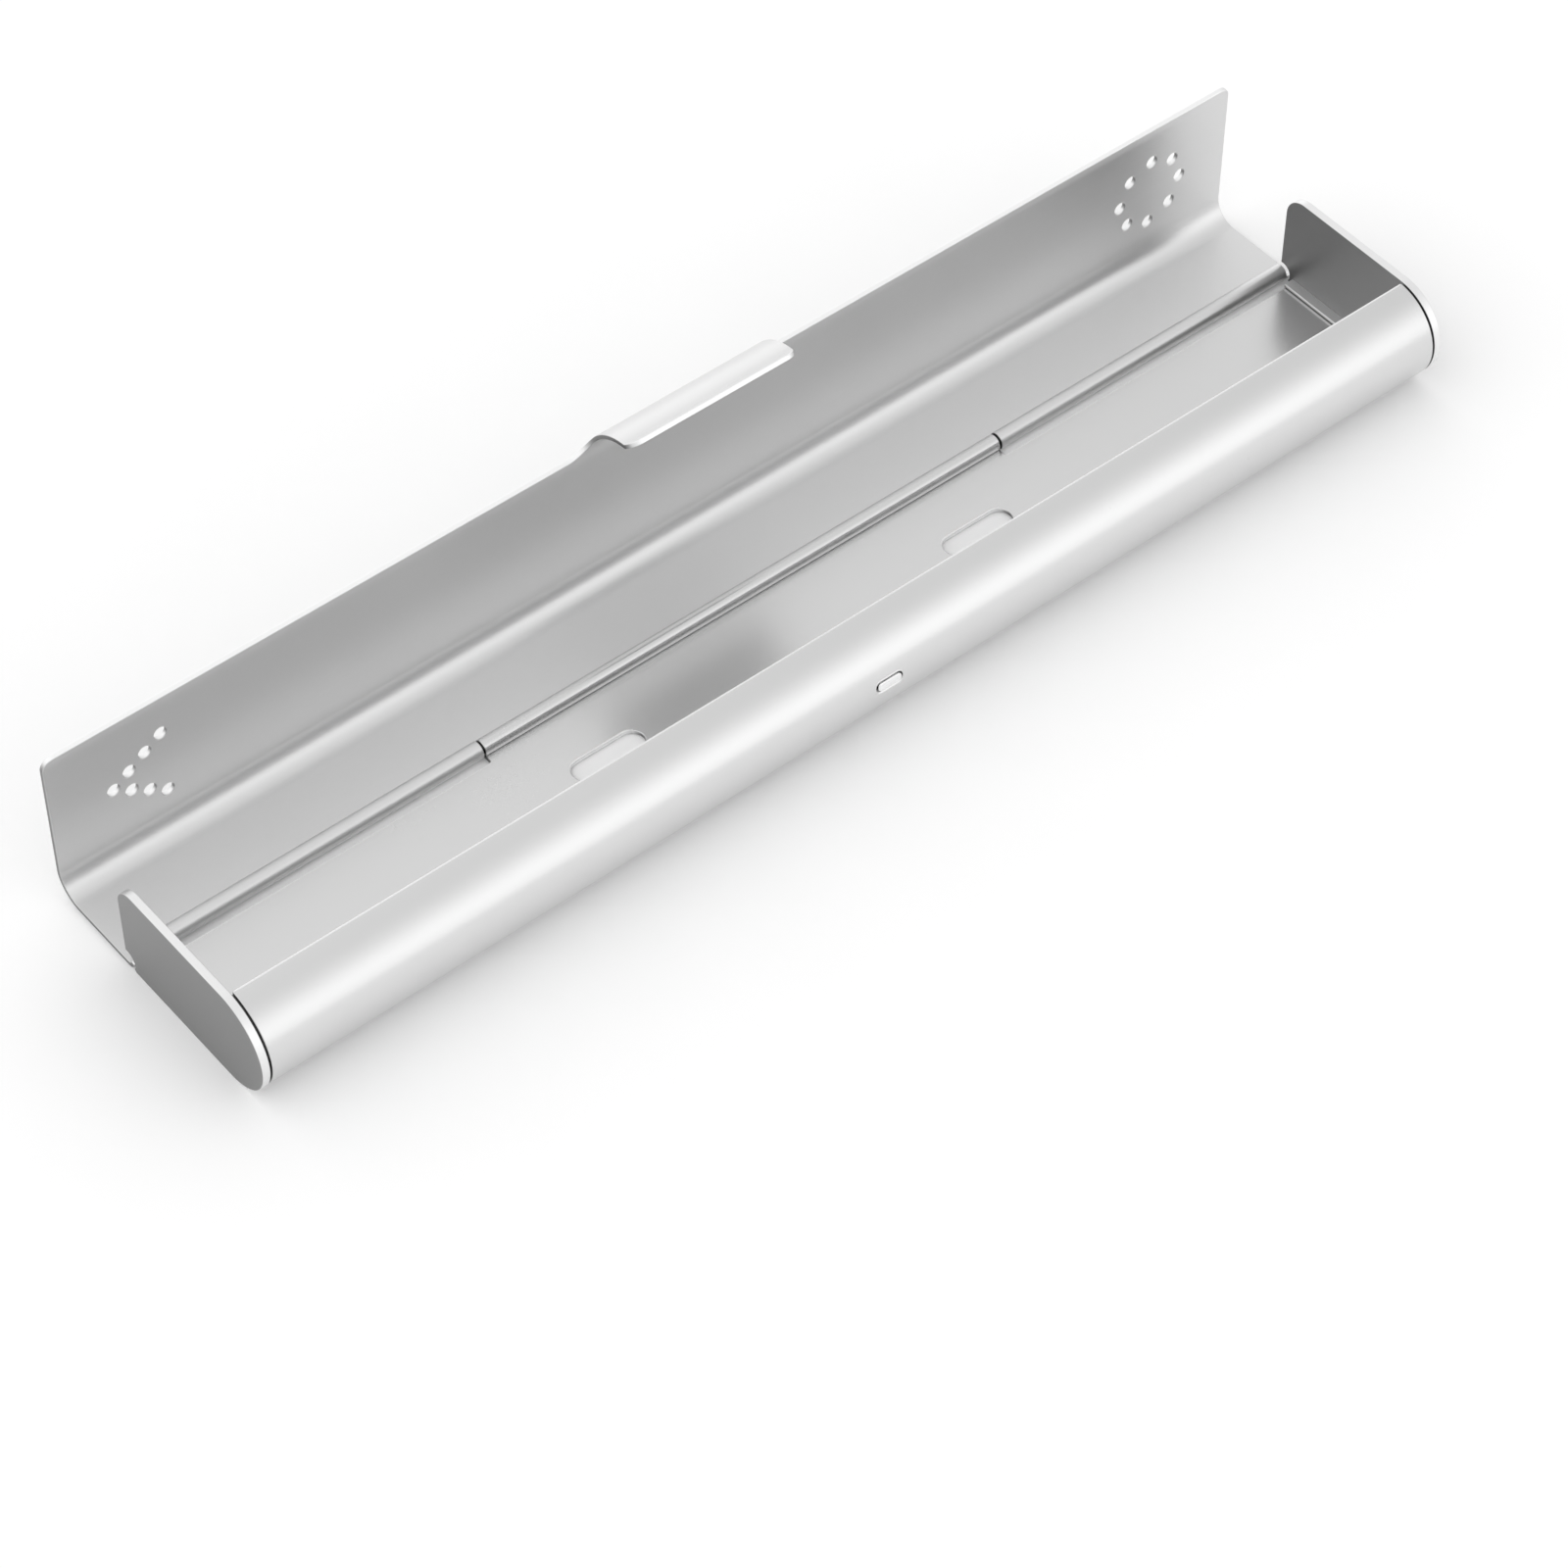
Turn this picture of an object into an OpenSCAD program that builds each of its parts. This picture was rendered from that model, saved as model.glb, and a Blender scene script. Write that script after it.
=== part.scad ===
// Aluminium toothbrush travel case: a bent base sheet closed by two end plates,
// and a bent lid sheet that turns on a rolled hinge along the bottom back edge.
// X runs along the case, +Y points to the hinge, +Z up. The origin is the centre
// of the underside. Everything is drawn as it lies on a table with the lid open.

/* [Case] */
// Length over the outer faces of the end plates
case_l = 210; // [170:1:260]
// Depth from the end plates' back edge to the front of the curve
case_d = 32; // [26:0.5:44]
// Height of the base, which is also the diameter of its round front
case_h = 16.6; // [14:0.2:22]
// How far the lid is turned from closed, at rest
open_angle = 90; // [0:5:90]

/* [Base sheet] */
// Thickness of the base sheet
base_t = 0.7; // [0.5:0.1:1.2]
// Angle before the top of the round front at which the sheet ends in a lip
lip_deg = 3; // [1:1:12]
// Width of the gap between the end of the sheet and an end plate
groove_w = 0.3; // [0.2:0.05:0.6]

/* [Lid sheet] */
// Thickness of the lid sheet
lid_t = 0.7; // [0.5:0.1:1]
// Gap between the lid's back wall and the end plates
back_gap = 0.25; // [0.2:0.05:0.6]
// Gap between the lid and the round front of the base
front_gap = 0.45; // [0.35:0.05:0.8]
// Angle past the top of the round front at which the front edge lies
edge_deg = 13; // [8:1:20]
// Radius of the lid's two front corners, seen from above
lid_corner_r = 2; // [0.5:0.5:5]

/* [Latch tab] */
// Width of the tab on the lid's front edge
tab_w = 29.6; // [16:0.2:60]
// Radius of the fillets where the tab leaves the front edge
root_r = 3.8; // [1:0.2:4]
// Angle past the top at which the tab is creased and the finger lip begins
crease_deg = 85.5; // [82:0.5:88]
// Turn of the finger lip away from the case
flare_deg = 30; // [15:1:45]
// Height of the finger lip's lower edge above the closed case's underside
lip_low_z = 7.2; // [6.8:0.1:7.6]
// Radius of the finger lip's two corners
lip_corner_r = 2.2; // [0.5:0.1:3]

/* [Latch stud] */
// Length of the stud's face along the case
stud_l = 4.2; // [3:0.1:10]
// Height of the stud's face
stud_w = 1.3; // [1:0.1:3]
// Height of the stud's centre above the table
stud_z = 9.45; // [9:0.05:10]
// How far the stud's face stands out of the sheet
stud_proud = 0.1; // [0.05:0.05:0.2]
// How far the stud's inner head reaches past its shank all round
stud_head = 0.7; // [0.4:0.1:1.2]
// Thickness of the stud's inner head
stud_head_t = 0.6; // [0.4:0.1:1]
// Gap round the stud's shank in its slot
stud_gap = 0.2; // [0.05:0.01:0.3]

/* [End plates] */
// Thickness of an end plate
plate_t = 1.25; // [0.8:0.05:2]
// Radius of an end plate's top back corner
plate_corner_r = 3.5; // [1:0.5:5]
// Length of the locating rim inside the base sheet
rim_l = 1.6; // [1:0.1:3]
// Thickness of the locating rim
rim_t = 0.6; // [0.4:0.1:1]
// Glue gap between the locating rim and the sheet
rim_gap = 0.05; // [0.02:0.01:0.1]
// Gap between the plates' hinge notch and the lid's knuckle
notch_gap = 0.25; // [0.15:0.05:0.5]

/* [Hinge] */
// Diameter of the hinge pin
pin_d = 1.2; // [0.8:0.1:1.6]
// Running clearance of the pin in the lid's knuckles, on the radius
pin_gap = 0.05; // [0.02:0.01:0.1]
// Length of the middle knuckle, which is rolled from the base sheet
mid_knuckle_l = 93.4; // [40:0.2:120]
// Gap between the ends of neighbouring knuckles
knuckle_gap = 0.3; // [0.2:0.05:0.6]
// Gap between the lid's knuckles and the end plates
knuckle_end_gap = 0.25; // [0.2:0.05:0.6]
// Gap between the floor's cut edge and the lid's knuckles
floor_gap = 0.9; // [0.4:0.05:2]
// Seam left where a rolled knuckle closes on its own sheet
seam_w = 0.12; // [0.06:0.02:0.2]
// How far the pin's ends lie inside the end knuckles
pin_recess = 0.6; // [0.2:0.1:3]
// Gap between the open lid and the table
table_gap = 0.05; // [0.02:0.01:0.2]

/* [Holes] */
// Diameter of a vent hole
vent_d = 2; // [1:0.1:3]
// Distance of the vent patterns from the lid's back face
vent_back = 14.1; // [11:0.1:16]
// Number of vent holes in the ring
ring_n = 8; // [5:1:10]
// Radius of the ring of vent holes
ring_r = 5.9; // [4:0.1:8]
// Distance of the ring's centre from the right end
ring_in = 14.9; // [11:0.1:30]
// Vent holes on each arm of the chevron, past its point
arm_n = 3; // [1:1:5]
// Spacing of the vent holes along an arm
arm_step = 3.3; // [3:0.1:4]
// Angle of each arm from the length of the case
arm_deg = 35; // [25:1:45]
// Distance of the chevron's point from the left end
arm_in = 9.9; // [6:0.1:20]
// Length of a drain slot in the floor
drain_l = 12; // [6:0.5:20]
// Width of a drain slot
drain_w = 4; // [2:0.2:6]
// Distance of each drain slot's centre from the middle of the case
drain_x = 33.5; // [15:0.5:60]
// Distance of the drain slots' centre line from the plates' back edge
drain_back = 12; // [8:0.5:16]

/* [Hidden] */
$fn = 96;
// A little more than nothing, by which cutters pass the faces that they cut
eps = 0.01;
// Reach of a cutter past the whole case
past = case_d;

// Round front of the base
front_r = case_h / 2;
back_y = case_d / 2;
round_y = front_r - case_d / 2;
round_z = front_r;
base_in_r = front_r - base_t;
sheet_l = case_l - 2 * (plate_t + groove_w);

// Hinge: the open lid's back wall lies just above the table
lid_bore_r = pin_d / 2 + pin_gap;
lid_knuckle_r = lid_bore_r + lid_t;
base_knuckle_r = pin_d / 2 + base_t;
lid_back_y = back_y + back_gap + lid_t;
hinge_y = lid_back_y - lid_knuckle_r;
hinge_z = max(lid_knuckle_r, base_knuckle_r) + table_gap;
notch_r = lid_knuckle_r + notch_gap;
lid_cut_x = mid_knuckle_l / 2 + knuckle_gap;
lid_knuckle_end = case_l / 2 - plate_t - knuckle_end_gap;
floor_back_y = hinge_y - lid_knuckle_r - floor_gap;
pin_l = 2 * (lid_knuckle_end - pin_recess);

// Lid, drawn closed and then turned about the hinge
lid_r = front_r + front_gap + lid_t;
lid_top_z = round_z + lid_r;
bend_r = plate_corner_r + back_gap + lid_t;
bend_y = lid_back_y - bend_r;
bend_z = lid_top_z - bend_r;
edge_y = round_y - lid_r * sin(edge_deg);
// Bottom of the lid's back wall where the base's own knuckle passes it
wall_cut_z = hinge_z + base_knuckle_r + knuckle_gap;
// Crease on the tab's outer face, from the centre of the round front
crease = lid_r * [-sin(crease_deg), cos(crease_deg)];
lip_turn = crease_deg - 90 - flare_deg;
vent_y = lid_back_y - vent_back;
drain_y = back_y - drain_back;

// Carries a profile drawn in Y and Z along X, centred on the case
module along_x(length) {
    translate([-length / 2, 0, 0]) rotate([90, 0, 90]) linear_extrude(length) children();
}

// Carries an outline drawn in X and Z along Y
module along_y(low, high) {
    translate([0, high, 0]) rotate([90, 0, 0]) linear_extrude(high - low) children();
}

// Part of a ring between two angles less than half a turn apart
module ring_part(r_out, r_in, a0, a1) {
    reach = 2 * r_out;
    mid = (a0 + a1) / 2;
    intersection() {
        difference() {
            circle(r_out);
            circle(r_in);
        }
        polygon([
            [0, 0],
            reach * [cos(a0), sin(a0)],
            reach * [cos(mid), sin(mid)],
            reach * [cos(a1), sin(a1)]
        ]);
    }
}

// Outline with two round ends
module pill(length, width) {
    for (side = [-1, 1]) translate([side * (length - width) / 2, 0]) circle(width / 2);
    square([length - width, width], center = true);
}

// Shapes of the base

// Floor and round front, ending in the lip
module base_profile() {
    translate([round_y, round_z]) {
        ring_part(front_r, base_in_r, 90 + lip_deg, 180);
        ring_part(front_r, base_in_r, 180, 270);
    }
    translate([round_y - eps, 0]) square([hinge_y - round_y + eps, base_t]);
}

module base_shell() {
    color("silver") difference() {
        union() {
            along_x(sheet_l) base_profile();
            along_x(mid_knuckle_l) translate([hinge_y, hinge_z]) circle(base_knuckle_r);
        }
        base_knuckle_cuts();
        floor_cuts();
        stud_slot();
        for (side = [-1, 1]) translate([side * drain_x, drain_y, -past / 2])
            linear_extrude(past) pill(drain_l, drain_w);
    }
}

// Bore of the middle knuckle, and the seam where its roll meets the floor
module base_knuckle_cuts() {
    along_x(mid_knuckle_l + past) translate([hinge_y, hinge_z]) circle(pin_d / 2);
    along_x(mid_knuckle_l + past)
        translate([hinge_y - base_knuckle_r - eps, base_t])
            square([base_knuckle_r, hinge_z - pin_d / 2 - base_t + seam_w]);
}

// Floor cut back beside the middle knuckle, for the lid's knuckles
module floor_cuts() {
    cut_l = (case_l - mid_knuckle_l) / 2;
    for (side = [-1, 1]) translate([side * (mid_knuckle_l + cut_l) / 2, 0, 0])
        along_x(cut_l) translate([floor_back_y, -eps]) square([past, base_t + 2 * eps]);
}

module stud_slot() {
    along_y(-case_d, round_y) translate([0, stud_z]) pill(stud_l + 2 * stud_gap, stud_w + 2 * stud_gap);
}

// Shapes of the lid

// What the tab and its finger lip enclose, from the centre of the round front
module tab_area(inset) {
    intersection() {
        circle(lid_r - inset);
        translate([-past, 0]) square(past);
    }
    translate(crease) rotate(lip_turn) translate([inset, -past]) square([2 * lid_t, past + lid_t]);
}

// The lid's section from the hinge to the end of the finger lip
module lid_profile() {
    translate([lid_back_y - lid_t, hinge_z]) square([lid_t, bend_z - hinge_z]);
    translate([bend_y, bend_z]) ring_part(bend_r, bend_r - lid_t, 0, 90);
    translate([round_y, lid_top_z - lid_t]) square([bend_y - round_y, lid_t]);
    translate([round_y, round_z]) difference() {
        tab_area(0);
        tab_area(lid_t);
        translate([-past, -2 * past]) square([2 * past, 2 * past + lip_low_z - round_z - lid_t]);
    }
}

// Rolled knuckle of the lid, with the seam where it closes on the back wall
module lid_knuckle_profile() {
    translate([hinge_y, hinge_z]) difference() {
        circle(lid_knuckle_r);
        circle(lid_bore_r);
        translate([lid_bore_r - seam_w, 0]) square([seam_w, lid_knuckle_r]);
    }
}

// Plan of what is cut off one half of the front: all but the tab, with the
// fillet at the tab's root and the lid's round corner. It starts at the edge.
module front_cut() {
    root_x = tab_w / 2 + root_r;
    end_x = case_l / 2 - lid_corner_r;
    translate([root_x, -past]) square([case_l / 2 + eps - root_x, past]);
    translate([tab_w / 2, -past]) square([case_l / 2 + eps - tab_w / 2, past - root_r]);
    translate([root_x, -root_r]) circle(root_r);
    translate([end_x, -eps]) difference() {
        square([lid_corner_r + eps, lid_corner_r + eps]);
        translate([0, lid_corner_r + eps]) circle(lid_corner_r);
    }
}

// Outline of what is cut off below the finger lip, with its corner on one side
module lip_cut() {
    translate([-eps, -past]) square([tab_w, past]);
    translate([tab_w / 2 - lip_corner_r, -eps]) difference() {
        square([lip_corner_r + eps, lip_corner_r + eps]);
        translate([0, lip_corner_r + eps]) circle(lip_corner_r);
    }
}

module lid_front_cuts() {
    for (side = [0, 1]) mirror([side, 0, 0]) {
        translate([0, edge_y, -past]) linear_extrude(3 * past) front_cut();
        translate([0, 0, lip_low_z]) along_y(-past, round_y) lip_cut();
    }
}

// Vent holes: a ring at the right end and a chevron at the left end
module vents() {
    for (i = [0 : ring_n - 1]) {
        a = 360 * i / ring_n;
        translate([case_l / 2 - ring_in + ring_r * cos(a), vent_y + ring_r * sin(a), 0]) vent();
    }
    translate([arm_in - case_l / 2, vent_y, 0]) {
        vent();
        for (side = [-1, 1]) for (i = [1 : arm_n])
            translate([i * arm_step * cos(arm_deg), side * i * arm_step * sin(arm_deg), 0]) vent();
    }
}

module vent() {
    translate([0, 0, lid_top_z - past / 2]) cylinder(d = vent_d, h = past);
}

// What is cut from the lid's back: the gap for the middle knuckle, and at each
// end plate all of the roll but the outer quarter that wraps the plate's corner
module lid_back_cuts() {
    roll = 2 * lid_knuckle_r;
    end_l = case_l / 2 - lid_knuckle_end + eps;
    along_x(2 * lid_cut_x) translate([hinge_y - roll, -roll]) square([2 * roll, wall_cut_z + roll]);
    for (side = [-1, 1]) translate([side * (lid_knuckle_end + end_l / 2), 0, 0]) along_x(end_l) {
        translate([hinge_y - roll, -roll]) square([roll, 2 * roll + hinge_z]);
        translate([hinge_y - eps, hinge_z]) square([lid_back_y - lid_t - hinge_y + eps, roll]);
    }
}

module lid_shell() {
    color("gainsboro")
        translate([0, hinge_y, hinge_z]) rotate([-open_angle, 0, 0]) translate([0, -hinge_y, -hinge_z])
            difference() {
                along_x(case_l) {
                    lid_profile();
                    lid_knuckle_profile();
                }
                lid_back_cuts();
                lid_front_cuts();
                vents();
            }
}

// Shapes of the end plates

module plate_outline() {
    difference() {
        union() {
            translate([round_y, round_z]) circle(front_r);
            translate([round_y, 0]) square([back_y - round_y, case_h - plate_corner_r]);
            translate([round_y, 0]) square([back_y - plate_corner_r - round_y, case_h]);
            translate([back_y - plate_corner_r, case_h - plate_corner_r]) circle(plate_corner_r);
        }
        translate([hinge_y, hinge_z]) circle(notch_r);
    }
}

// Rim that locates the plate against the inside of the sheet
module rim_outline() {
    rim_r = base_in_r - rim_gap;
    translate([round_y, round_z]) {
        ring_part(rim_r, rim_r - rim_t, 90 + lip_deg, 180);
        ring_part(rim_r, rim_r - rim_t, 180, 270);
    }
    translate([round_y - eps, round_z - rim_r]) square([floor_back_y - round_y + eps, rim_t]);
}

// side is -1 for the left plate and 1 for the right one
module end_cap(side) {
    color("darkgray") {
        translate([side * (case_l - plate_t) / 2, 0, 0]) along_x(plate_t) plate_outline();
        translate([side * ((case_l - rim_l) / 2 - plate_t + eps / 2), 0, 0])
            along_x(rim_l + eps) rim_outline();
    }
}

module left_end_cap() {
    end_cap(-1);
}

module right_end_cap() {
    end_cap(1);
}

// Small parts

module hinge_pin() {
    color("gray") along_x(pin_l) translate([hinge_y, hinge_z]) circle(pin_d / 2);
}

// Stud in the front slot: a shank with a proud face, and a head inside the sheet
module latch_stud() {
    head_r = base_in_r - rim_gap;
    color("white") {
        intersection() {
            along_x(case_l) translate([round_y, round_z]) difference() {
                circle(front_r + stud_proud);
                circle(head_r - stud_head_t / 2);
            }
            along_y(-case_d, round_y) translate([0, stud_z]) pill(stud_l, stud_w);
        }
        intersection() {
            along_x(case_l) translate([round_y, round_z]) difference() {
                circle(head_r);
                circle(head_r - stud_head_t);
            }
            along_y(-case_d, round_y) translate([0, stud_z])
                pill(stud_l + 2 * stud_head, stud_w + 2 * stud_head);
        }
    }
}

base_shell();
lid_shell();
left_end_cap();
right_end_cap();
hinge_pin();
latch_stud();
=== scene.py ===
"""Dresses the toothbrush travel case: two bent aluminium sheets, end plates, hinge pin and latch
stud, lying open on a pale table."""

import math

import bpy
import numpy as np
from mathutils import Matrix, Vector
from mathutils.geometry import delaunay_2d_cdt


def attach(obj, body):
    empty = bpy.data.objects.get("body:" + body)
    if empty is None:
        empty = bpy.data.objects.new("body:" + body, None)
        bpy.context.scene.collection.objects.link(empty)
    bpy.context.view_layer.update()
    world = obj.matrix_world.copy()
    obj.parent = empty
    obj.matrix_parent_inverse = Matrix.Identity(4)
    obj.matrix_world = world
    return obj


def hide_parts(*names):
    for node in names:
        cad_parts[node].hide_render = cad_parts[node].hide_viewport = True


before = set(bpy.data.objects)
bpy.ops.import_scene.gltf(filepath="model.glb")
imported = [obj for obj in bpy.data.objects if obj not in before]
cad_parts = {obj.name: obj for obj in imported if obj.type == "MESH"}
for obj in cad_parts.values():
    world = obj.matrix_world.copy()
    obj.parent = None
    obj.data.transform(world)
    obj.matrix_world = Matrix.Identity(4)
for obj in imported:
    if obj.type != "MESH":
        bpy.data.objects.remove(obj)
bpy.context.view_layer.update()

MM = 0.001

# The case, in millimetres, in the part's own frame: X along the case, Y to the hinge, Z up
HALF_LENGTH = 105.0
SHEET = 0.7
PLATE = 1.25
BACK_Y = 16.0
HINGE_Y, HINGE_Z = 15.6, 1.4
# Round front: its radius and the centre of its curve
FRONT_R = 8.3
FRONT_Y, FRONT_Z = -7.7, 8.3
# Angle of the base's lip on the round front, counted from the back over the top
LIP_DEG = 93
# Radii about the round front's centre: middle lines of the base sheet, the closed lid's tab and the rims
BASE_LINE_R = 7.95
LID_LINE_R = 9.1
RIM_LINE_R = 7.25

# Where the sheets are divided along X, and the longest straight step along a bend line
COLUMNS = np.linspace(-HALF_LENGTH, HALF_LENGTH, 85)
STEP = 3.0
# Least distances in a flat pattern: of a division from a corner, and of a grid point from an outline
CORNER_CLEAR = 0.04
GRID_CLEAR = 0.12
# Most points that inside() and gap_to() compare at once
INSIDE_BATCH = 4000
GAP_BATCH = 200


# Flat patterns and bends

def polar(u, v, radius, angle):
    """Point of a circle about (u, v) at an angle in radians: the centre plus the radius times the
    angle's cosine and sine."""
    return u + radius * math.cos(angle), v + radius * math.sin(angle)


def bend(radius, turn):
    """A bend as a run of a bend line: its length is the radius times the angle, and turn is in degrees."""
    return radius * math.radians(abs(turn)), turn


def bend_line(start, heading, runs, sag=0.003):
    """The middle line of a bent sheet in Y and Z, walked from its start. Each run is (length, turn in
    degrees): a straight line if the turn is 0, or else an arc, to the left if positive. Returns one
    row (s, y, z, heading, curvature) a run, and the lengths s at which the sheet is divided: a line
    at least every STEP, and an arc so that no chord leaves it by more than sag, which on a radius r
    is a step of twice the angle with cosine 1 - sag / r."""
    rows, levels = [], [np.zeros(1)]
    s, y, z, h = 0.0, start[0], start[1], math.radians(heading)
    for length, turn in runs:
        k = math.radians(turn) / length
        rows.append((s, y, z, h, k))
        step = 2 * math.acos(1 - sag * abs(k)) if turn else math.inf
        parts = max(math.ceil(length / STEP), math.ceil(abs(math.radians(turn)) / step))
        levels.append(s + np.linspace(0, length, parts + 1)[1:])
        if turn:
            y += (math.sin(h + k * length) - math.sin(h)) / k
            z -= (math.cos(h + k * length) - math.cos(h)) / k
        else:
            y += length * math.cos(h)
            z += length * math.sin(h)
        s += length
        h += k * length
    return np.array(rows), np.concatenate(levels)


def on_bend(rows, u, s, n):
    """Point, outward normal and the two directions in the sheet (along X, along the bend) at u along
    X, s along the line and n out of its middle. On an arc of curvature k the heading grows by k times
    the length, and the arc's outside is on the right."""
    i = np.clip(np.searchsorted(rows[:, 0], s, side="right") - 1, 0, len(rows) - 1)
    s0, y0, z0, h0, k = rows[i].T
    ds = s - s0
    h = h0 + k * ds
    flat = np.abs(k) < 1e-9
    divisor = np.where(flat, 1.0, k)
    y = y0 + np.where(flat, ds * np.cos(h0), (np.sin(h) - np.sin(h0)) / divisor)
    z = z0 + np.where(flat, ds * np.sin(h0), -(np.cos(h) - np.cos(h0)) / divisor)
    zero = np.zeros_like(h)
    out = np.stack([zero, np.sin(h), -np.cos(h)], 1)
    along = np.stack([zero, np.cos(h), np.sin(h)], 1)
    across = np.stack([zero + 1, zero, zero], 1)
    return np.stack([u, y, z], 1) + out * np.asarray(n)[..., None], out, across, along


def on_plate(x0, side, u, v, n):
    """Point, outward normal and the two directions (along Y, along Z) on a flat plate in the plane
    X = x0, where u is Y, v is Z and n points to the given side."""
    zero = np.zeros_like(u)
    out = np.stack([zero + side, zero, zero], 1)
    along_y = np.stack([zero, zero + 1, zero], 1)
    along_z = np.stack([zero, zero, zero + 1], 1)
    return np.stack([x0 + side * n + zero, u, v], 1), out, along_y, along_z


def rounded(corners, levels=None, arc=9.0, reach=3.0):
    """Closed outline through corners (u, v, radius), each rounded by an arc that touches both its
    sides, with points every arc degrees. Where levels are given, a side that climbs in v is divided
    at them and one that runs along u at COLUMNS, so that the rim meets the sheet's grid; otherwise
    sides are divided every reach. A corner of radius 0 is a point of a curve. Returns the points and
    the normals that point out of the material, for corners that go anticlockwise round it."""
    c = np.array(corners, float)
    p, r = c[:, :2], c[:, 2]
    a, b = np.roll(p, 1, 0), np.roll(p, -1, 0)
    d0 = (p - a) / np.linalg.norm(p - a, axis=1)[:, None]
    d1 = (b - p) / np.linalg.norm(b - p, axis=1)[:, None]
    turn = np.arctan2(d0[:, 0] * d1[:, 1] - d0[:, 1] * d1[:, 0], (d0 * d1).sum(1))
    points, normals = [], []
    for i in range(len(p)):
        if r[i] > 0:
            cut = r[i] * abs(math.tan(turn[i] / 2))
            way = math.copysign(1, turn[i])
            side = way * np.array([-d0[i, 1], d0[i, 0]])
            centre = p[i] - d0[i] * cut + side * r[i]
            t = np.linspace(0, turn[i], max(2, math.ceil(abs(math.degrees(turn[i])) / arc) + 1))
            cos, sin = np.cos(t), np.sin(t)
            ray = -side
            rays = np.stack([ray[0] * cos - ray[1] * sin, ray[0] * sin + ray[1] * cos], 1)
            points.append(centre + rays * r[i])
            normals.append(rays * way)
        else:
            m = np.array([d0[i, 1] + d1[i, 1], -d0[i, 0] - d1[i, 0]])
            points.append(p[i][None])
            normals.append((m / np.linalg.norm(m))[None])
    points, normals = np.concatenate(points), np.concatenate(normals)
    split_points, split_normals = [], []
    for i in range(len(points)):
        j = (i + 1) % len(points)
        q0, q1 = points[i], points[j]
        span = np.linalg.norm(q1 - q0)
        t = np.linspace(0, 1, max(2, math.ceil(span / reach) + 1))[:-1]
        if levels is not None:
            runs_along = abs(q1[1] - q0[1]) < 1e-6
            axis, stops = (0, COLUMNS) if runs_along else (1, levels)
            f = (stops - q0[axis]) / (q1[axis] - q0[axis])
            clear = (f * span > CORNER_CLEAR) & ((1 - f) * span > CORNER_CLEAR)
            t = np.concatenate([[0], np.sort(f[clear])])
        split_points.append(q0 + (q1 - q0) * t[:, None])
        m = normals[i] + (normals[j] - normals[i]) * t[:, None]
        split_normals.append(m / np.linalg.norm(m, axis=1)[:, None])
    return np.concatenate(split_points), np.concatenate(split_normals)


def hole(loop):
    """An outline as a hole: walked the other way, with normals that point into it."""
    return loop[0][::-1], -loop[1][::-1]


def round_hole(u, v, radius):
    """Round hole about (u, v): the centre plus radius times (cosine, sine), in steps of 10 degrees."""
    t = np.linspace(0, 2 * np.pi, 36, endpoint=False)
    ray = np.stack([np.cos(t), np.sin(t)], 1)
    return hole((np.array([u, v]) + ray * radius, ray))


def pill(u, v, length, width, levels=None):
    """Outline with two round ends and its length along u: a rectangle with corners of half its width,
    less a hair so that its ends keep a side."""
    a, b = length / 2, width / 2
    r = b - 1e-4
    return rounded([(u - a, v - b, r), (u + a, v - b, r), (u + a, v + b, r), (u - a, v + b, r)], levels)


def inside(points, loops):
    """Whether each point is in the material: whether a line from it along +u crosses the loops an odd
    number of times."""
    count = np.zeros(len(points), int)
    for q, _ in loops:
        a, b = q, np.roll(q, -1, 0)
        for k in range(0, len(points), INSIDE_BATCH):
            u, v = points[k:k + INSIDE_BATCH, :1], points[k:k + INSIDE_BATCH, 1:]
            spans = (a[:, 1] > v) != (b[:, 1] > v)
            rise = np.where(b[:, 1] == a[:, 1], 1.0, b[:, 1] - a[:, 1])
            cross = a[:, 0] + (v - a[:, 1]) / rise * (b[:, 0] - a[:, 0])
            count[k:k + INSIDE_BATCH] += (spans & (cross > u)).sum(1)
    return count % 2 == 1


def gap_to(points, others):
    """Distance from each point to the nearest of the others."""
    gap = np.full(len(points), np.inf)
    for k in range(0, len(others), GAP_BATCH):
        apart = points[:, None] - others[None, k:k + GAP_BATCH]
        gap = np.minimum(gap, (apart ** 2).sum(2).min(1))
    return np.sqrt(gap)


# Closed shells, each as points, normals, faces and the edge mask

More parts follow.
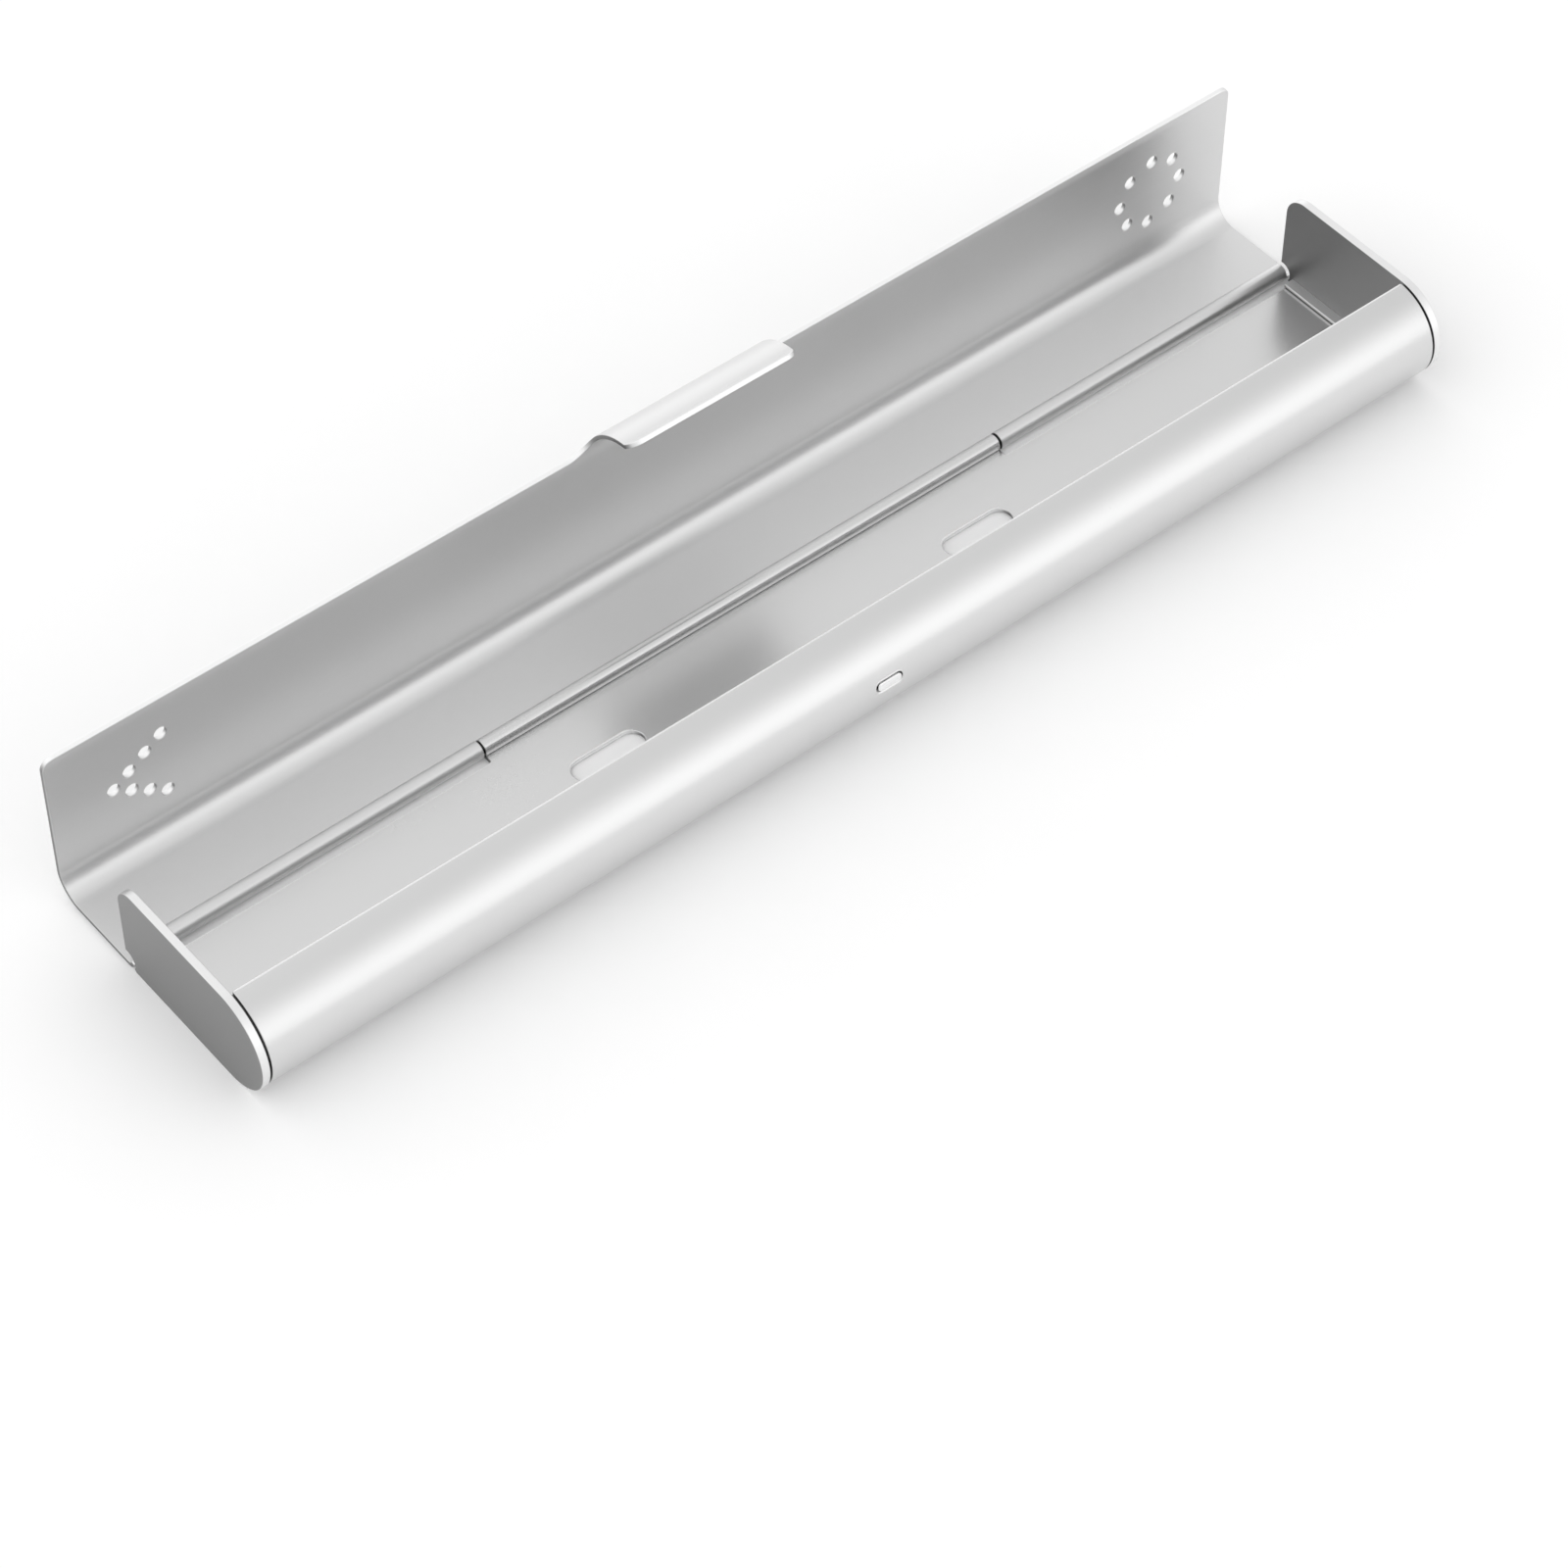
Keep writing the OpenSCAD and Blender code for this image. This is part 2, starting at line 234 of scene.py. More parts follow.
def filled(loops, grid, edge, band, squeeze):
    """The flat pattern within its cut edges, filled with triangles between three kinds of points: the
    rim, which is the loops drawn in by the edge radius, the loops drawn in by the band too, and the
    grid. The pattern is squeezed along u meanwhile, so that no triangle runs across many rows of a
    tight bend. Returns the points, the rim first, the rim's sides and the triangles."""
    inset = [(q - m * edge, m) for q, m in loops]
    faded = [(q - m * (edge + band), m) for q, m in loops]
    rim = np.concatenate([q for q, _ in inset])
    bound = np.concatenate([q for q, _ in faded])
    band_clear = max(0.7 * band, 0.03)
    bound = bound[inside(bound, inset) & (gap_to(bound, rim) > band_clear)]
    u, v = np.meshgrid(*grid, indexing="ij")
    dots = np.stack([u.ravel(), v.ravel()], 1)
    dots = dots[inside(dots, faded) & inside(dots, inset)]
    dots = dots[gap_to(dots, np.concatenate([rim, bound])) > GRID_CLEAR]
    flat = np.concatenate([rim, bound, dots])
    starts = np.cumsum([0] + [len(q) for q, _ in inset])
    turns = [np.arange(first, end) for first, end in zip(starts, starts[1:])]
    sides = np.concatenate([np.stack([i, np.roll(i, -1)], 1) for i in turns])
    squeezed = [Vector((u * squeeze, v)) for u, v in flat.tolist()]
    found = delaunay_2d_cdt(squeezed, sides.tolist(), [], 0, 1e-7)
    origin = np.array([o[0] if o else -1 for o in found[3]])
    tri = origin[np.array(found[2])]
    tri = tri[(tri >= 0).all(1)]
    a, b, c = flat[tri[:, 0]], flat[tri[:, 1]], flat[tri[:, 2]]
    area = (b[:, 0] - a[:, 0]) * (c[:, 1] - a[:, 1]) - (b[:, 1] - a[:, 1]) * (c[:, 0] - a[:, 0])
    tri = tri[(np.abs(area) > 1e-9) & inside((a + b + c) / 3, inset)]
    return flat, sides, tri


def cut_sheet(place, loops, grid, thickness, edge, middle=0.0, band=0.22, squeeze=0.25):
    """A sheet cut to the given loops in its flat pattern and put in place, the middle of its thickness
    at the height middle. Both faces are the filled pattern. All round each loop they join by a cut
    edge: a quarter round of the edge radius, a straight wall, and another quarter round. With a band
    the mask is 1 on a cut edge that runs along u, bare metal with a painted highlight, from where it
    fades over the band on both faces, and falls to -1, a painted shade, on one that runs across.
    Without, it rises to 1 over the quarter rounds, the same bright edge."""
    flat, sides, tri = filled(loops, grid, edge, band, squeeze)
    half = thickness / 2
    count = len(flat)
    top, out, _, _ = place(flat[:, 0], flat[:, 1], np.full(count, middle + half))
    low, _, _, _ = place(flat[:, 0], flat[:, 1], np.full(count, middle - half))
    q = np.concatenate([p for p, _ in loops])
    m = np.concatenate([w for _, w in loops])
    # Positive on cut edges along u: bare metal with a painted highlight. Negative on edges across u: painted
    # shade.
    burnish_highlight_and_shade = 1 - 2 * m[:, 0] ** 2
    face_mask = np.zeros(count)
    if band:
        face_mask[:len(q)] = np.maximum(burnish_highlight_and_shade, 0)
    points, normals, mask = [top, low], [out, -out], [face_mask, face_mask]
    ring = np.arange(len(q))
    rings = [ring]
    quarter = np.radians([30, 60, 90])
    for t, up in [(t, 1) for t in quarter] + [(t, -1) for t in quarter[::-1]]:
        w = q - m * edge * (1 - math.sin(t))
        height = middle + up * (half - edge * (1 - math.cos(t)))
        p, o, e1, e2 = place(w[:, 0], w[:, 1], np.full(len(w), height))
        rings.append(ring + 2 * count + len(q) * (len(rings) - 1))
        points.append(p)
        normals.append(up * math.cos(t) * o + math.sin(t) * (e1 * m[:, :1] + e2 * m[:, 1:]))
        rising = math.sin(t) ** 2
        mask.append(np.where(burnish_highlight_and_shade > 0, burnish_highlight_and_shade, burnish_highlight_and_shade * rising) if band else np.full(len(w), rising))
    rings.append(ring + count)
    following = sides[:, 1]
    quads = [np.stack([a, b, b[following], a[following]], 1) for a, b in zip(rings, rings[1:])]
    return np.concatenate(points), np.concatenate(normals), [tri, tri + count] + quads, np.concatenate(mask)


def carried(line, thickness, u0, u1, edge):
    """A bar carried along a bend line. Its section goes from u0 to u1 along X and has its thickness
    across the line, with corners rounded by the edge radius, and both ends are closed by a fan. The
    mask is 1 on the side that faces the line's inside, a painted highlight in the bright edge grey."""
    rows, levels = line
    half = thickness / 2
    corners = [(u0, -half, edge), (u1, -half, edge), (u1, half, edge), (u0, half, edge)]
    loop, normal = rounded(corners, reach=math.inf)
    k, n = len(loop), len(levels)
    s = np.repeat(levels, k)
    points, out, across, along = on_bend(rows, np.tile(loop[:, 0], n), s, np.tile(loop[:, 1], n))
    normals = across * np.tile(normal[:, :1], (n, 1)) + out * np.tile(normal[:, 1:], (n, 1))
    i = np.arange(n * k).reshape(n, k)
    quads = np.stack([i[:-1], np.roll(i[:-1], -1, 1), np.roll(i[1:], -1, 1), i[1:]], 2).reshape(-1, 4)
    ends, end_normals, fans = [], [], []
    for row, sign in ((0, -1), (n - 1, 1)):
        start = n * k + sum(len(e) for e in ends)
        c = points[row * k:(row + 1) * k]
        ends.append(np.concatenate([c, c.mean(0)[None]]))
        end_normals.append(np.tile(along[row * k] * sign, (k + 1, 1)))
        r = np.arange(k)
        fans.append(np.stack([start + r, start + np.roll(r, -1), np.full(k, start + k)], 1))
    # The inner side, the one that shows, gets the bright edge grey as a painted highlight
    inner = np.where(loop[:, 1] < 0, 1.0, 0.0)
    mask = np.concatenate([np.tile(inner, n)] + [np.append(inner, 0.5)] * 2)
    return np.concatenate([points] + ends), np.concatenate([normals] + end_normals), [quads] + fans, mask


def turned(profile, y0, z0):
    """A profile of (x, radius) turned about the line along X through (y0, z0): each of its points goes
    round as the line plus radius times (cosine, sine). Its first and last point lie on the line."""
    steps = 48
    p = np.array(profile, float)
    slope = np.gradient(p, axis=0)
    normal = np.stack([-slope[:, 1], slope[:, 0]], 1)
    normal /= np.linalg.norm(normal, axis=1)[:, None]
    t = np.linspace(0, 2 * np.pi, steps, endpoint=False)
    cos, sin = np.tile(np.cos(t), len(p) - 2), np.tile(np.sin(t), len(p) - 2)
    x, r = np.repeat(p[1:-1], steps, axis=0).T
    body = np.stack([x, y0 + r * cos, z0 + r * sin], 1)
    nx, nr = np.repeat(normal[1:-1], steps, axis=0).T
    body_normals = np.stack([nx, nr * cos, nr * sin], 1)
    poles = np.array([[p[0, 0], y0, z0], [p[-1, 0], y0, z0]])
    i = np.arange((len(p) - 2) * steps).reshape(-1, steps)
    quads = np.stack([i[:-1], i[1:], np.roll(i[1:], -1, 1), np.roll(i[:-1], -1, 1)], 2).reshape(-1, 4)
    fan0 = np.stack([np.full(steps, i.size), i[0], np.roll(i[0], -1)], 1)
    fan1 = np.stack([np.full(steps, i.size + 1), np.roll(i[-1], -1), i[-1]], 1)
    points = np.concatenate([body, poles])
    normals = np.concatenate([body_normals, [[-1, 0, 0], [1, 0, 0]]])
    return points, normals, [quads, fan0, fan1], np.zeros(len(points))


def joined(*shells):
    """Several closed shells as one: their points in a row, and each one's faces counted on from there."""
    points, normals, faces, mask, base = [], [], [], [], 0
    for p, n, f, m in shells:
        points.append(p)
        normals.append(n)
        mask.append(m)
        faces += [g + base for g in f]
        base += len(p)
    return np.concatenate(points), np.concatenate(normals), faces, np.concatenate(mask)


def piece(name, shell, material, body, node):
    """Puts a shell, in millimetres, into a mesh object that rides on a body and stands for a CAD node.
    Each face is turned to agree with its points' normals, which are kept for the shading."""
    points, normals, faces, mask = shell
    normals = normals / np.linalg.norm(normals, axis=1)[:, None]
    polygons = []
    for f in faces:
        p = points[f]
        across = np.cross(p[:, 1] - p[:, 0], p[:, 2] - p[:, 0])
        if f.shape[1] == 4:
            across = np.cross(p[:, 2] - p[:, 0], p[:, 3] - p[:, 1])
        wrong = (across * normals[f].sum(1)).sum(1) < 0
        polygons += np.where(wrong[:, None], f[:, ::-1], f).tolist()
    mesh = bpy.data.meshes.new(name)
    mesh.from_pydata((points * MM).tolist(), [], polygons)
    mesh.polygons.foreach_set("use_smooth", np.ones(len(polygons), bool))
    mesh.attributes.new("cut_edge", "FLOAT", "POINT").data.foreach_set("value", mask.astype(np.float32))
    mesh.validate()
    mesh.normals_split_custom_set_from_vertices(normals.tolist())
    mesh.materials.append(material)
    obj = bpy.data.objects.new(name, mesh)
    bpy.context.scene.collection.objects.link(obj)
    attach(obj, body)
    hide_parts(node)


# Materials

# Height of the metals' relief, in millimetres, and the grey of the sheets' cut ends: painted shade on edges
# facing X
RELIEF = 0.009
END_SHADE_GREY = 0.20


def add_node(tree, kind, inputs, **settings):
    """A shader node with the given settings, each input linked to a socket or set to a value."""
    made = tree.nodes.new("ShaderNode" + kind)
    for key, value in settings.items():
        setattr(made, key, value)
    for key, value in inputs.items():
        if isinstance(value, bpy.types.NodeSocket):
            tree.links.new(value, made.inputs[key])
        else:
            made.inputs[key].default_value = value
    return made


def mix(tree, kind, factor, a, b):
    """What lies between a and b by the factor."""
    return add_node(tree, "Mix", {"Factor": factor, "A": a, "B": b}, data_type=kind).outputs["Result"]


def satin_group():
    """Shared surface of blasted and anodised sheet. Two fine noises make its grain, slow ones drawn
    out along the case its cloudy sheen and smudges, and thin level lines of noise drawn out along the
    case, kept only in a few soft patches, its scuffs. Tone, Sheen and Height are weighted sums of
    these. Where the cut_edge attribute is positive it gives the bright cut edges, which are bare metal
    with a painted highlight. Where it is negative it gives a painted shade on cut edges that face along X."""
    group = bpy.data.node_groups.new("satin_sheet", "ShaderNodeTree")
    for name in ("Grain", "Scuffs", "Seed"):
        group.interface.new_socket(name, in_out="INPUT", socket_type="NodeSocketFloat")
    for name in ("Tone", "Sheen", "Height", "BurnishAndHighlight", "EndShade"):
        group.interface.new_socket(name, in_out="OUTPUT", socket_type="NodeSocketFloat")
    given = group.nodes.new("NodeGroupInput").outputs
    results = group.nodes.new("NodeGroupOutput").inputs
    place = add_node(group, "TexCoord", {}).outputs["Object"]

    def calc(operation, *values):
        """Result of a maths operation on values or sockets."""
        return add_node(group, "Math", dict(enumerate(values)), operation=operation).outputs[0]

    def noise(scale, detail, rough, stretch=(1, 1, 1), shift=0.0):
        """Noise on the object's own coordinates, stretched, shifted and moved on by the seed."""
        offset = (shift, shift * 0.7, -shift)
        moved = add_node(group, "Mapping", {"Vector": place, "Scale": stretch, "Location": offset})
        seeded = add_node(group, "VectorMath", {0: moved.outputs[0], 1: given["Seed"]}, operation="ADD")
        inputs = {"Vector": seeded.outputs[0], "Scale": scale, "Detail": detail, "Roughness": rough}
        return add_node(group, "TexNoise", inputs).outputs["Fac"]

    def about_middle(value, strength):
        """How far a noise lies from its middle, times the strength."""
        return calc("MULTIPLY", calc("SUBTRACT", value, 0.5), strength)

    def weighted(*terms):
        """Sum of the terms (value, weight)."""
        total = calc("MULTIPLY", *terms[0])
        for value, weight in terms[1:]:
            total = calc("ADD", total, calc("MULTIPLY", value, weight))
        return total

    fine = noise(5200, 2, 0.6)
    blast = noise(1500, 3, 0.65, shift=0.3)
    grain = about_middle(weighted((fine, 0.55), (blast, 0.45)), given["Grain"])
    cloud = about_middle(noise(28, 3, 0.55, stretch=(0.5, 1, 1), shift=1.7), 0.5)
    smudge = about_middle(noise(95, 4, 0.6, stretch=(0.6, 1, 1), shift=3.1), 0.5)

    line = noise(300, 1, 0.4, stretch=(0.05, 1.5, 1.5), shift=5.3)
    patch = noise(40, 2, 0.5, shift=11.0)
    from_level = calc("MULTIPLY", calc("ABSOLUTE", calc("SUBTRACT", line, 0.5)), 20.0)
    hairline = calc("MAXIMUM", calc("SUBTRACT", 1.0, from_level), 0.0)
    where = calc("MINIMUM", calc("MAXIMUM", calc("MULTIPLY_ADD", patch, 4.0, -2.1), 0.0), 1.0)
    scuff = calc("MULTIPLY", calc("MULTIPLY", hairline, where), given["Scuffs"])

    edge = add_node(group, "Attribute", {}, attribute_name="cut_edge").outputs["Fac"]
    tone = weighted((cloud, 0.05), (grain, 0.10), (smudge, 0.02), (scuff, 0.05))
    outputs = {
        "Tone": calc("ADD", tone, 1.0),
        "Sheen": weighted((cloud, 0.08), (grain, 0.12), (smudge, 0.05), (scuff, -0.08)),
        "Height": weighted((grain, 1.0), (scuff, -0.15), (smudge, 0.6)),
        # Bright cut edges with a painted highlight, and painted shade on cut edges that face along X
        "BurnishAndHighlight": calc("MAXIMUM", edge, 0.0),
        "EndShade": calc("MAXIMUM", calc("MULTIPLY", edge, -1.0), 0.0)}
    for name, value in outputs.items():
        group.links.new(value, results[name])
    return group


SATIN = satin_group()


def metal(name, grey, rough, seed, edge_grey=0.94, edge_rough=0.50, grain=0.5, scuffs=0.2):
    """Satin metal: the shared group varies its colour, roughness and relief. Cut edges are bright, bare
    metal with a painted highlight, and those on a sheet's ends, which face along X, are dark grey as
    painted shade."""
    material = bpy.data.materials.new(name)
    material.use_nodes = True
    tree = material.node_tree
    values = {"Grain": grain, "Scuffs": scuffs, "Seed": seed}
    satin = add_node(tree, "Group", values, node_tree=SATIN).outputs
    # The cut edges' grey is bare metal with a painted highlight. The ends' grey is painted shade.
    face, cut, end = ((v, v, v, 1) for v in (grey, edge_grey, END_SHADE_GREY))
    colour = mix(tree, "RGBA", satin["BurnishAndHighlight"], face, cut)
    colour = mix(tree, "RGBA", satin["EndShade"], colour, end)
    colour = add_node(tree, "VectorMath", {0: colour, "Scale": satin["Tone"]}, operation="SCALE").outputs[0]
    sheen = mix(tree, "FLOAT", satin["BurnishAndHighlight"], rough, edge_rough)
    sheen = add_node(tree, "Math", {0: sheen, 1: satin["Sheen"]}, operation="ADD", use_clamp=True).outputs[0]
    relief = {"Strength": 1.0, "Distance": RELIEF * MM, "Height": satin["Height"]}
    normal = add_node(tree, "Bump", relief).outputs[0]
    surface = tree.nodes["Principled BSDF"].inputs
    surface["Metallic"].default_value = 1.0
    for key, value in (("Base Color", colour), ("Roughness", sheen), ("Normal", normal)):
        tree.links.new(value, surface[key])
    return material


# Base and lid are one metal. The base's slightly lower grey is painted shade.
base_metal = metal("satin_base_sheet", 0.70, 0.26, seed=1.3)
lid_metal = metal("satin_lid_sheet", 0.73, 0.38, seed=4.1)
# The end plates' dark grey is partly their own darker finish and partly painted shade on their faces
left_metal = metal("satin_left_plate", 0.26, 0.42, seed=6.7, edge_grey=0.84, edge_rough=0.38)
right_metal = metal("satin_right_plate", 0.26, 0.42, seed=9.2, edge_grey=0.84, edge_rough=0.38)
pin_metal = metal("drawn_pin_wire", 0.50, 0.30, seed=2.2, scuffs=0.8)
stud_metal = metal("polished_stud", 0.90, 0.22, seed=3.4, grain=0.3)


# Base sheet

# Half the sheet's length and half its knuckle's, and the floor's back edge beside the knuckle
SHEET_X = 103.45
KNUCKLE_X = 46.7
FLOOR_BACK_Y = 13.35
# Straight run of the floor, the two small bends that lift it, and the knuckle
FLOOR_RUN = 21.3
LIFT_R, LIFT_DEG = 10.03, 5.72
KNUCKLE_R, KNUCKLE_DEG = 0.95, 299
# Drain slots: place in X and Y, length and width
DRAIN_X, DRAIN_Y = 33.5, 4.0
DRAIN_L, DRAIN_W = 12, 4
# Height of the stud's centre above the round front's, and its slot's length and width in the pattern
STUD_RISE = 1.15
SLOT_L, SLOT_W = 4.6, 1.65

base_rows, base_levels = bend_line(
    polar(FRONT_Y, FRONT_Z, BASE_LINE_R, math.radians(LIP_DEG)), LIP_DEG + 90,
    [bend(BASE_LINE_R, 270 - LIP_DEG), (FLOOR_RUN, 0), bend(LIFT_R, LIFT_DEG), bend(LIFT_R, -LIFT_DEG),
     bend(KNUCKLE_R, KNUCKLE_DEG)])
STUD_S = BASE_LINE_R * (math.pi - math.asin(STUD_RISE / FRONT_R) - math.radians(LIP_DEG))


def base_pattern():
    """Flat pattern of the base sheet: a long rectangle with the middle tongue that is rolled into the
    knuckle, two drain slots and the stud's slot."""
    floor_s = base_rows[1, 0]
    cut_s = floor_s + FLOOR_BACK_Y - FRONT_Y
    end_s = base_levels[-1]
    end_corner, tongue_corner = 0.3, 0.25
    outer = rounded([
        (-SHEET_X, 0, end_corner), (SHEET_X, 0, end_corner), (SHEET_X, cut_s, end_corner),
        (KNUCKLE_X, cut_s, tongue_corner), (KNUCKLE_X, end_s, tongue_corner),
        (-KNUCKLE_X, end_s, tongue_corner), (-KNUCKLE_X, cut_s, tongue_corner),
        (-SHEET_X, cut_s, end_corner)], base_levels)
    slot = hole(pill(0, STUD_S, SLOT_L, SLOT_W, base_levels))
    drain_s = floor_s + DRAIN_Y - FRONT_Y
    return [outer, slot] + [hole(pill(side * DRAIN_X, drain_s, DRAIN_L, DRAIN_W)) for side in (-1, 1)]


def on_base(u, v, n):
    """A place on the base sheet's bend line."""
    return on_bend(base_rows, u, v, n)


base_shell = cut_sheet(on_base, base_pattern(), (COLUMNS, base_levels), SHEET, edge=0.16)
piece("case_base", base_shell, base_metal, "base", "base_shell")


# Lid sheet

# The line is that of the closed lid, and all places in Y are those that it has when closed
# Knuckle: radius, the angle about the pin at which it starts, and how far it is rolled
LID_KNUCKLE_R, SEAM_DEG, LID_KNUCKLE_DEG = 1.0, 66, 294
# Back wall, then the bend with its centre's place in Y, and the flat top
WALL_RUN = 11.9
BEND_R, BEND_Y = 4.1, 12.5
TOP_RUN = 20.2
# Tab, which follows the round front to a crease, and its flared lip
TAB_DEG = 84.74
CREASE_R, FLARE_DEG = 0.5, 30
LIP_RUN = 1.73
# Angle past the round front's top at which the front edge lies
EDGE_DEG = 13.0
# Vents: their middle row's place in Y, and their radius
VENT_Y = 2.85
VENT_R = 1.0
# Ring of vents: its centre in X and its radius
RING_X, RING_R = 90.1, 5.9
# Chevron of vents: its point in X, and the spacing and angle of its arms
POINT_X = -95.1
ARM_STEP, ARM_DEG = 3.3, 35

lid_rows, lid_levels = bend_line(
    polar(HINGE_Y, HINGE_Z, LID_KNUCKLE_R, math.radians(SEAM_DEG)), SEAM_DEG + 90,
    [bend(LID_KNUCKLE_R, LID_KNUCKLE_DEG), (WALL_RUN, 0), bend(BEND_R, 90), (TOP_RUN, 0),
     bend(LID_LINE_R, TAB_DEG), bend(CREASE_R, -FLARE_DEG), (LIP_RUN, 0)])


def lid_pattern():
    """Flat pattern of the lid sheet: the two tongues of the knuckles, the gap between them, the
    notched ends, the front edge with round corners, the tab with its root fillets and round corners,
    and the vents in a ring and a chevron."""
    _, wall_s, _, top_s, front_s = lid_rows[:5, 0]
    gap_rise = 1.6
    gap_s = wall_s + gap_rise
    hook_s = LID_KNUCKLE_R * math.radians(270 - SEAM_DEG)
    edge_s = front_s + LID_LINE_R * math.radians(EDGE_DEG)
    end_s = lid_levels[-1]
    tongue_x, inner_x, tab_x = 103.5, 47.0, 14.8
    nick, gap_corner, end_corner, root, tab_corner = 0.25, 0.3, 2.0, 3.9, 2.2
    outer = rounded([
        (-tongue_x, 0, nick), (-inner_x, 0, nick), (-inner_x, gap_s, gap_corner),
        (inner_x, gap_s, gap_corner), (inner_x, 0, nick), (tongue_x, 0, nick),
        (tongue_x, hook_s, nick), (HALF_LENGTH, hook_s, nick), (HALF_LENGTH, edge_s, end_corner),
        (tab_x, edge_s, root), (tab_x, end_s, tab_corner), (-tab_x, end_s, tab_corner),
        (-tab_x, edge_s, root), (-HALF_LENGTH, edge_s, end_corner), (-HALF_LENGTH, hook_s, nick),
        (-tongue_x, hook_s, nick)], lid_levels)
    vent_s = top_s + BEND_Y - VENT_Y
    t = np.radians(np.arange(8) * 45)
    vents = [polar(RING_X, vent_s, RING_R, -a) for a in t]
    vents += [(POINT_X, vent_s)]
    step_u, step_s = polar(0, 0, ARM_STEP, math.radians(ARM_DEG))
    vents += [(POINT_X + i * step_u, vent_s + side * i * step_s) for side in (-1, 1) for i in (1, 2, 3)]
    return [outer] + [round_hole(x, s, VENT_R) for x, s in vents]


def on_lid(u, v, n):
    """The closed lid's place, turned back by a right angle about the hinge: (y, z) from the hinge goes
    to (z, -y)."""
    p, out, across, along = on_bend(lid_rows, u, v, n)
    back = np.array([[1, 0, 0], [0, 0, 1], [0, -1, 0]], float)
    hinge = np.array([0, HINGE_Y, HINGE_Z])
    return (p - hinge) @ back.T + hinge, out @ back.T, across, along @ back.T


lid_shell = cut_sheet(on_lid, lid_pattern(), (COLUMNS, lid_levels), SHEET, edge=0.12)
piece("case_lid", lid_shell, lid_metal, "lid", "lid_shell")


# End plates

# Radius of the top back corner, then the hollow round the hinge: its radius and the angles it spans
PLATE_CORNER_R = 3.5
HOLLOW_R, HOLLOW_DEG = 1.6, (215, 75.5)
# Where the flat underside ends, below the hollow's toe
TOE_Y = 13.85
# Locating rim: its ends in X, its straight run along the floor, its thickness and its edges' radius
RIM_X = (102.15, 103.9)
RIM_RUN = 21.0
RIM = 0.6
RIM_EDGE = 0.08


def plate_outline():
    """Outline of an end plate in Y and Z: flat underside, half-round front, flat top, rounded back
    corner, straight back, and the hollow round the hinge, whose toe is blunted."""
    top, toe, foot = 0.1, 0.12, 0.25
    a = np.radians(np.linspace(*HOLLOW_DEG, 15))
    hollow = [(*polar(HINGE_Y, HINGE_Z, HOLLOW_R, t), 0) for t in a[1:-1]]
    hollow_toe = (*polar(HINGE_Y, HINGE_Z, HOLLOW_R, a[0]), toe)
    hollow_top = (BACK_Y, HINGE_Z + HOLLOW_R * math.sin(a[-1]), top)
    front = np.radians(np.linspace(90, 270, 61))
    curve = [(*polar(FRONT_Y, FRONT_Z, FRONT_R, t), 0) for t in front]
    back = [hollow_top, (BACK_Y, 2 * FRONT_R, PLATE_CORNER_R)]
    return rounded([(TOE_Y, 0, foot), hollow_toe] + hollow + back + curve, reach=1.5)


def end_plate(side):
    """An end plate with its locating rim: a strip that follows the front and the floor just inside
    the base sheet."""
    x0 = side * (HALF_LENGTH - PLATE / 2)

    def place(u, v, n):
        return on_plate(x0, side, u, v, n)

    grid = (np.linspace(-BACK_Y, BACK_Y, 14), np.linspace(0, 2 * FRONT_R, 8))
    plate = cut_sheet(place, [plate_outline()], grid, PLATE, edge=0.1, band=0, squeeze=1)
    rim_line = bend_line(
        polar(FRONT_Y, FRONT_Z, RIM_LINE_R, math.radians(LIP_DEG)), LIP_DEG + 90,
        [bend(RIM_LINE_R, 270 - LIP_DEG), (RIM_RUN, 0)])
    low, high = sorted(side * x for x in RIM_X)
    return joined(plate, carried(rim_line, RIM, low, high, RIM_EDGE))


piece("left_plate", end_plate(-1), left_metal, "base", "left_end_cap")
piece("right_plate", end_plate(1), right_metal, "base", "right_end_cap")


# Pin and stud

PIN_R = 0.6
PIN_HALF = 102.9
# Stud's face and inner head, in the base's pattern: length, width, thickness, edge and middle height
STUD_FACE = (4.2, 1.26, 0.95, 0.12, -0.025)
STUD_HEAD = (5.6, 2.61, 0.6, 0.12, -0.7)


def pin_profile():
    """Profile of the pin as (x, radius): a plain rod whose ends are rounded by quarter circles."""
    edge, first_step = 0.15, 5
    quarter = np.radians(np.linspace(90, 0, 6))
    end = [(-PIN_HALF + edge - edge * math.sin(t), PIN_R - edge + edge * math.cos(t)) for t in quarter]
    middle = [(x, PIN_R) for x in np.linspace(-PIN_HALF + first_step, PIN_HALF - first_step, 30)]
    return [(-PIN_HALF, 0)] + end + middle + [(-x, r) for x, r in end[::-1]] + [(PIN_HALF, 0)]


def stud_part(length, width, thickness, edge, middle):
    """A plate with two round ends that follows the base sheet's curve at the stud's place."""
    half_u, half_s = 4, 2
    grid = (np.linspace(-half_u, half_u, 17), np.linspace(STUD_S - half_s, STUD_S + half_s, 9))
    return cut_sheet(on_base, [pill(0, STUD_S, length, width, base_levels)], grid, thickness, edge, middle)


pin = turned(pin_profile(), HINGE_Y, HINGE_Z)
piece("hinge_wire", pin, pin_metal, "base", "hinge_pin")
stud = joined(stud_part(*STUD_FACE), stud_part(*STUD_HEAD))
piece("stud", stud, stud_metal, "base", "latch_stud")


# Table, light and camera

